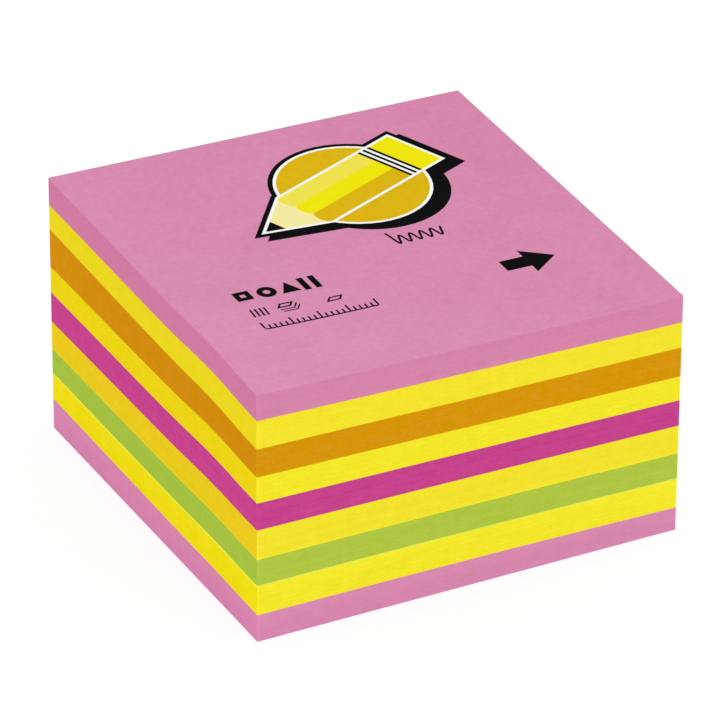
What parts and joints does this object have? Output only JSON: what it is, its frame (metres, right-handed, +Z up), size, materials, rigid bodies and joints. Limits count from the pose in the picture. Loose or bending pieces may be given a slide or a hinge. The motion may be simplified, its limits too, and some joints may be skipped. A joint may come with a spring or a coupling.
{
  "type": "sticky note pad",
  "caption": "Square block of sticky notes in bright coloured bands, glued along one edge and slightly taller at that side, with a printed top sheet.",
  "frame": {"origin": "middle of the underside of the bottom sheet", "axes": "+Z up through the stack; +X along the notes' free front edge, from left to right; +Y from the free edge to the glued edge at the back"},
  "size_m": [0.076, 0.076, 0.047],
  "materials": {
    "pink_paper": "matt uncoated paper, dyed soft pink",
    "yellow_paper": "matt uncoated paper, dyed bright yellow",
    "green_paper": "matt uncoated paper, dyed lime green",
    "magenta_paper": "matt uncoated paper, dyed magenta",
    "orange_paper": "matt uncoated paper, dyed orange"
  },
  "bodies": {
    "root": {"bottom_pink_sheets": "pink_paper", "fourth_yellow_sheets": "yellow_paper", "green_sheets": "green_paper", "third_yellow_sheets": "yellow_paper", "magenta_sheets": "magenta_paper", "second_yellow_sheets": "yellow_paper", "orange_sheets": "orange_paper", "first_yellow_sheets": "yellow_paper", "top_pink_sheets": "pink_paper"}
  },
  "joints": []
}
